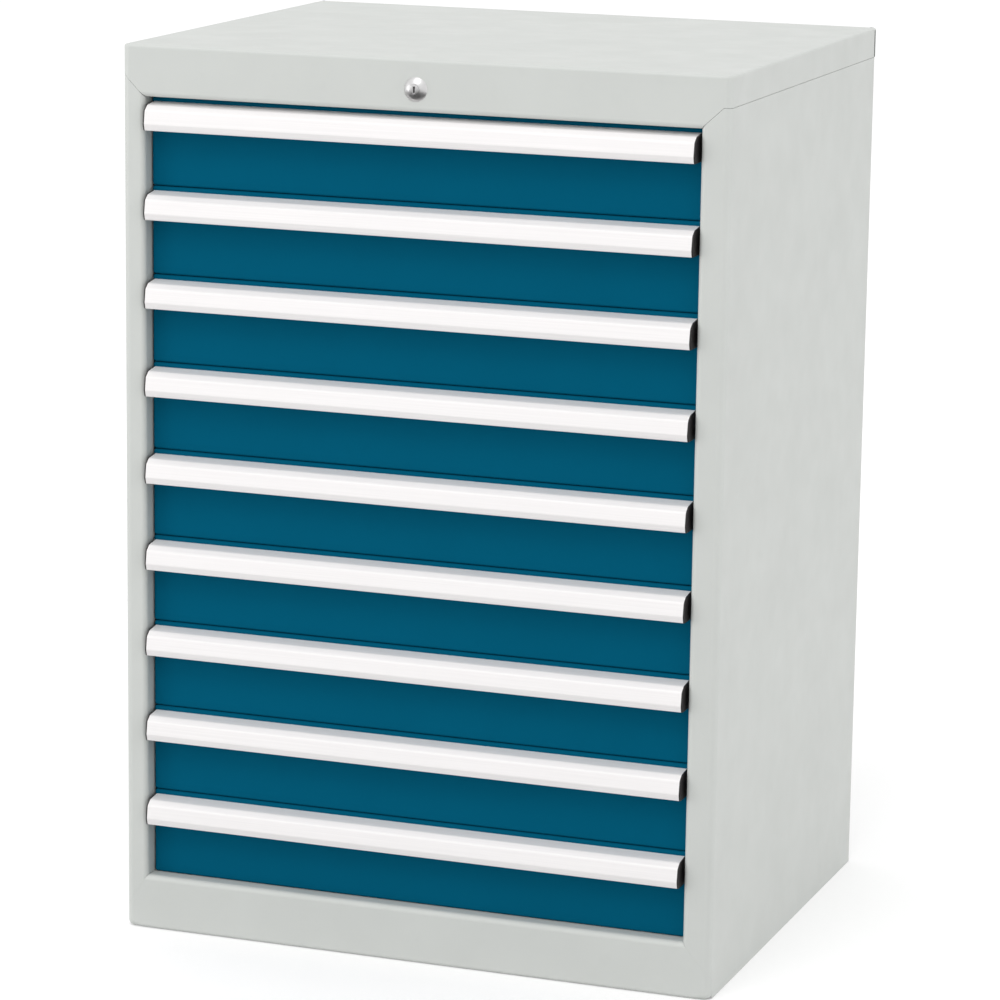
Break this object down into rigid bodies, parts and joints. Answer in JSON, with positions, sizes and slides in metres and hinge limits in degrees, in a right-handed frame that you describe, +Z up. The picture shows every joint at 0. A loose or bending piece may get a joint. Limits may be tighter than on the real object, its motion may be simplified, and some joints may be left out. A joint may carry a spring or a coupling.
{
  "type": "drawer cabinet",
  "caption": "Free-standing sheet-steel drawer cabinet: equal drawers on telescopic slides, full-width pull grips and one lock that bolts them all.",
  "frame": {"origin": "on the floor, in the middle of the cabinet's box with the drawers shut", "axes": "+X to the right of someone facing the drawers, +Y to the back, +Z up"},
  "size_m": [0.705, 0.582, 1.019],
  "materials": {
    "case_grey": "fine powder coat, satin",
    "front_blue": "fine powder coat, satin",
    "tray_grey": "fine powder coat, satin",
    "grip_aluminium": "satin anodised",
    "cap_black": "matt moulded",
    "lock_chrome": "polished",
    "zinc_steel": "zinc plated"
  },
  "bodies": {
    "cabinet": {"left_side_panel": "case_grey", "right_side_panel": "case_grey", "top_cover": "case_grey", "back_panel": "case_grey", "bottom_rail": "case_grey", "base_pan": "case_grey", "rail_uprights": "zinc_steel", "left_cabinet_rails": "zinc_steel", "right_cabinet_rails": "zinc_steel", "lock_housing": "lock_chrome", "lock_nut": "zinc_steel"},
    "lock_core": {"lock_plug": "lock_chrome", "lock_cam": "zinc_steel"},
    "lock_bar": {"locking_bar": "zinc_steel"},
    "drawer_1": {"drawer_1_tray": "tray_grey", "drawer_1_front": "front_blue", "drawer_1_grip": "grip_aluminium", "drawer_1_grip_caps": "cap_black"},
    "slide_1": {"drawer_1_slide_beams": "zinc_steel"},
    "drawer_2": {"drawer_2_tray": "tray_grey", "drawer_2_front": "front_blue", "drawer_2_grip": "grip_aluminium", "drawer_2_grip_caps": "cap_black"},
    "slide_2": {"drawer_2_slide_beams": "zinc_steel"},
    "drawer_3": {"drawer_3_tray": "tray_grey", "drawer_3_front": "front_blue", "drawer_3_grip": "grip_aluminium", "drawer_3_grip_caps": "cap_black"},
    "slide_3": {"drawer_3_slide_beams": "zinc_steel"},
    "drawer_4": {"drawer_4_tray": "tray_grey", "drawer_4_front": "front_blue", "drawer_4_grip": "grip_aluminium", "drawer_4_grip_caps": "cap_black"},
    "slide_4": {"drawer_4_slide_beams": "zinc_steel"},
    "drawer_5": {"drawer_5_tray": "tray_grey", "drawer_5_front": "front_blue", "drawer_5_grip": "grip_aluminium", "drawer_5_grip_caps": "cap_black"},
    "slide_5": {"drawer_5_slide_beams": "zinc_steel"},
    "drawer_6": {"drawer_6_tray": "tray_grey", "drawer_6_front": "front_blue", "drawer_6_grip": "grip_aluminium", "drawer_6_grip_caps": "cap_black"},
    "slide_6": {"drawer_6_slide_beams": "zinc_steel"},
    "drawer_7": {"drawer_7_tray": "tray_grey", "drawer_7_front": "front_blue", "drawer_7_grip": "grip_aluminium", "drawer_7_grip_caps": "cap_black"},
    "slide_7": {"drawer_7_slide_beams": "zinc_steel"},
    "drawer_8": {"drawer_8_tray": "tray_grey", "drawer_8_front": "front_blue", "drawer_8_grip": "grip_aluminium", "drawer_8_grip_caps": "cap_black"},
    "slide_8": {"drawer_8_slide_beams": "zinc_steel"},
    "drawer_9": {"drawer_9_tray": "tray_grey", "drawer_9_front": "front_blue", "drawer_9_grip": "grip_aluminium", "drawer_9_grip_caps": "cap_black"},
    "slide_9": {"drawer_9_slide_beams": "zinc_steel"}
  },
  "joints": [
    {"name": "lock_turn", "type": "hinge", "parent": "cabinet", "child": "lock_core", "pos_m": [-0.004, -0.28104, 0.9865], "axis": [0, 1, 0], "range_deg": [0, 90]},
    {"name": "lock_bar_slide", "type": "slide", "parent": "cabinet", "child": "lock_bar", "axis": [-1, 0, 0], "range_m": [0, 0.01]},
    {"name": "drawer_1_slide", "type": "slide", "parent": "cabinet", "child": "drawer_1", "axis": [0, -1, 0], "range_m": [0, 0.49]},
    {"name": "slide_1_run", "type": "slide", "parent": "cabinet", "child": "slide_1", "axis": [0, -1, 0], "range_m": [0, 0.245]},
    {"name": "drawer_2_slide", "type": "slide", "parent": "cabinet", "child": "drawer_2", "axis": [0, -1, 0], "range_m": [0, 0.49]},
    {"name": "slide_2_run", "type": "slide", "parent": "cabinet", "child": "slide_2", "axis": [0, -1, 0], "range_m": [0, 0.245]},
    {"name": "drawer_3_slide", "type": "slide", "parent": "cabinet", "child": "drawer_3", "axis": [0, -1, 0], "range_m": [0, 0.49]},
    {"name": "slide_3_run", "type": "slide", "parent": "cabinet", "child": "slide_3", "axis": [0, -1, 0], "range_m": [0, 0.245]},
    {"name": "drawer_4_slide", "type": "slide", "parent": "cabinet", "child": "drawer_4", "axis": [0, -1, 0], "range_m": [0, 0.49]},
    {"name": "slide_4_run", "type": "slide", "parent": "cabinet", "child": "slide_4", "axis": [0, -1, 0], "range_m": [0, 0.245]},
    {"name": "drawer_5_slide", "type": "slide", "parent": "cabinet", "child": "drawer_5", "axis": [0, -1, 0], "range_m": [0, 0.49]},
    {"name": "slide_5_run", "type": "slide", "parent": "cabinet", "child": "slide_5", "axis": [0, -1, 0], "range_m": [0, 0.245]},
    {"name": "drawer_6_slide", "type": "slide", "parent": "cabinet", "child": "drawer_6", "axis": [0, -1, 0], "range_m": [0, 0.49]},
    {"name": "slide_6_run", "type": "slide", "parent": "cabinet", "child": "slide_6", "axis": [0, -1, 0], "range_m": [0, 0.245]},
    {"name": "drawer_7_slide", "type": "slide", "parent": "cabinet", "child": "drawer_7", "axis": [0, -1, 0], "range_m": [0, 0.49]},
    {"name": "slide_7_run", "type": "slide", "parent": "cabinet", "child": "slide_7", "axis": [0, -1, 0], "range_m": [0, 0.245]},
    {"name": "drawer_8_slide", "type": "slide", "parent": "cabinet", "child": "drawer_8", "axis": [0, -1, 0], "range_m": [0, 0.49]},
    {"name": "slide_8_run", "type": "slide", "parent": "cabinet", "child": "slide_8", "axis": [0, -1, 0], "range_m": [0, 0.245]},
    {"name": "drawer_9_slide", "type": "slide", "parent": "cabinet", "child": "drawer_9", "axis": [0, -1, 0], "range_m": [0, 0.49]},
    {"name": "slide_9_run", "type": "slide", "parent": "cabinet", "child": "slide_9", "axis": [0, -1, 0], "range_m": [0, 0.245]}
  ],
  "couplings": [
    {"joint": "lock_turn", "follows": "lock_bar_slide", "rad_per_m": 155},
    {"joint": "slide_1_run", "follows": "drawer_1_slide", "ratio": 0.5},
    {"joint": "slide_2_run", "follows": "drawer_2_slide", "ratio": 0.5},
    {"joint": "slide_3_run", "follows": "drawer_3_slide", "ratio": 0.5},
    {"joint": "slide_4_run", "follows": "drawer_4_slide", "ratio": 0.5},
    {"joint": "slide_5_run", "follows": "drawer_5_slide", "ratio": 0.5},
    {"joint": "slide_6_run", "follows": "drawer_6_slide", "ratio": 0.5},
    {"joint": "slide_7_run", "follows": "drawer_7_slide", "ratio": 0.5},
    {"joint": "slide_8_run", "follows": "drawer_8_slide", "ratio": 0.5},
    {"joint": "slide_9_run", "follows": "drawer_9_slide", "ratio": 0.5}
  ]
}
